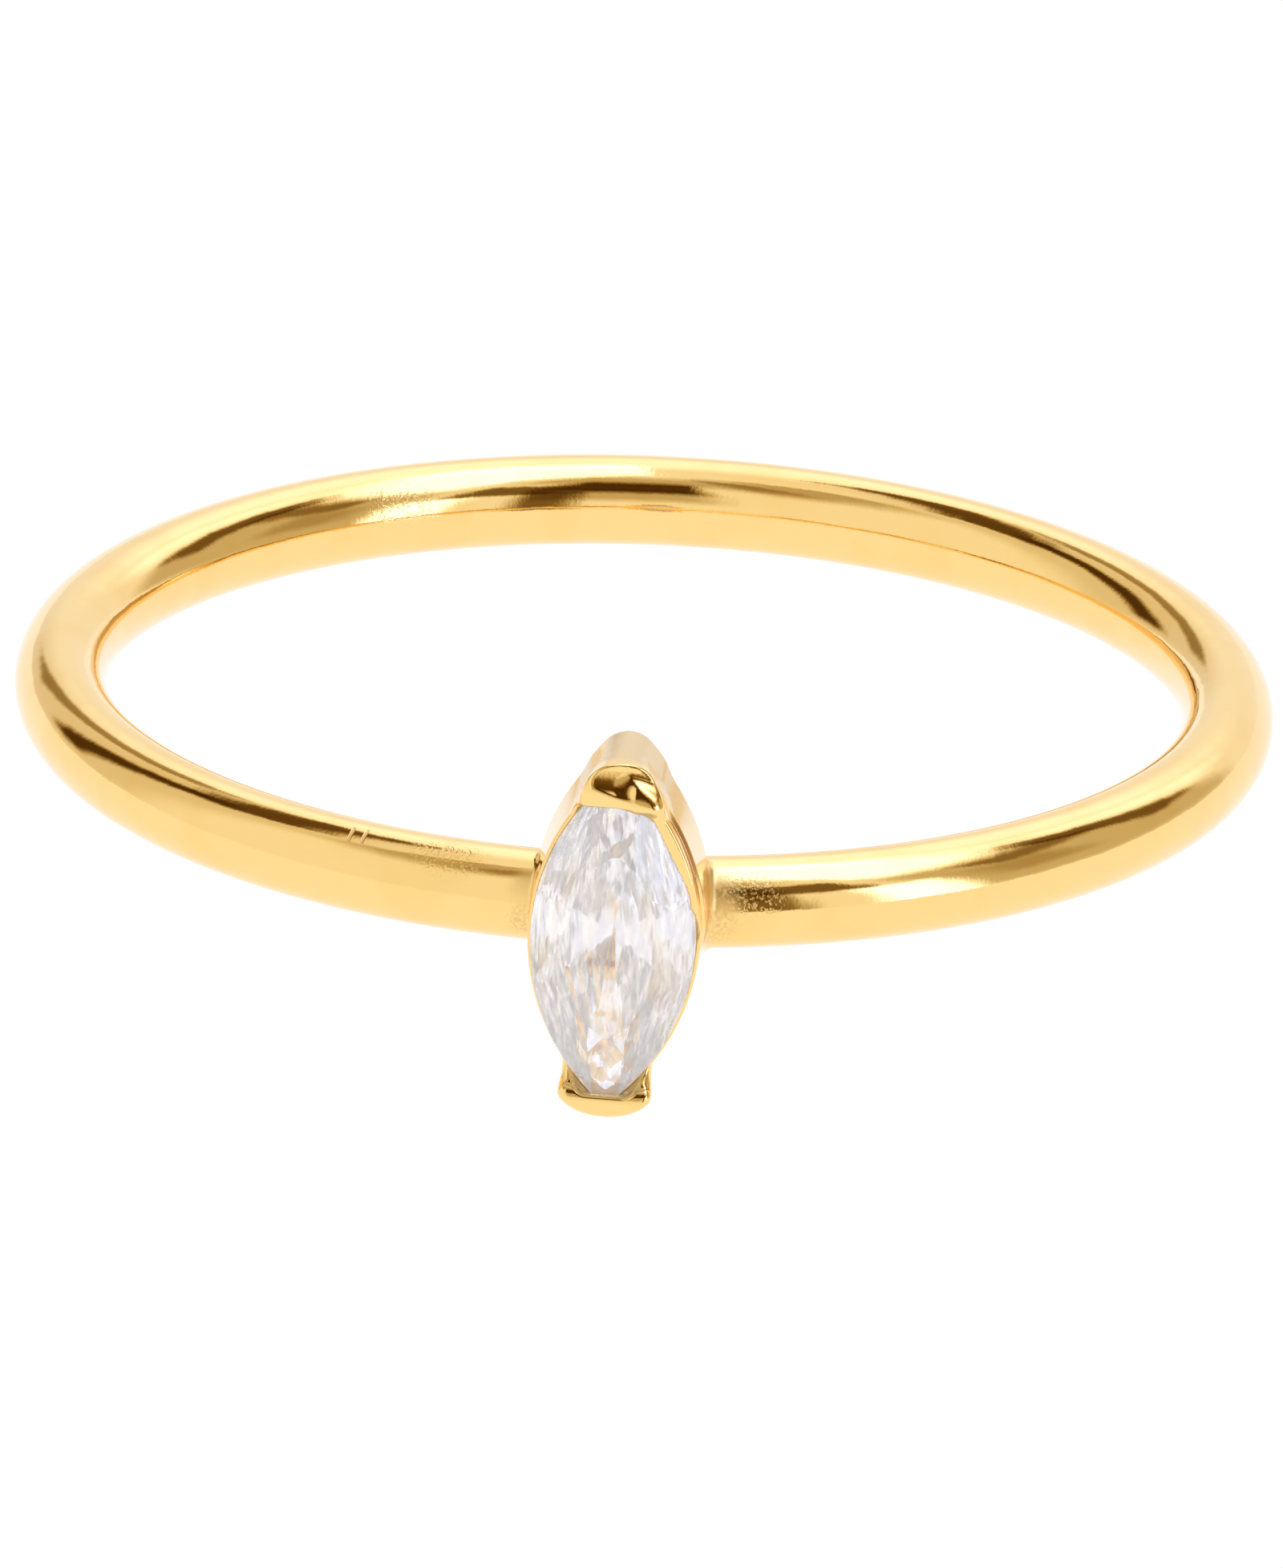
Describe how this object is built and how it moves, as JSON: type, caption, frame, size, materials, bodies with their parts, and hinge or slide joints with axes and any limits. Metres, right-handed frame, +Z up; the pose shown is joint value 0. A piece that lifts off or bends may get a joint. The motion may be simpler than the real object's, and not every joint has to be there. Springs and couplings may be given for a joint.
{
  "type": "navette finger ring",
  "caption": "Finger ring: a plain round wire band with one navette stone, held upright in an open cup by a domed claw over each of its points.",
  "frame": {"origin": "on the table that the ring lies on, under the middle of its bounding box", "axes": "-Y towards the front, where the stone faces; +Z up off the table, along the finger but for the 6.9 degree tilt that the ring rests at; X across, along the width of the stone"},
  "size_m": [0.0192, 0.0206, 0.0058],
  "materials": {
    "gold": "polished yellow gold plate",
    "stone": "clear cut stone, polished"
  },
  "bodies": {
    "root": {"band_and_setting": "gold", "stone": "stone"}
  },
  "joints": []
}
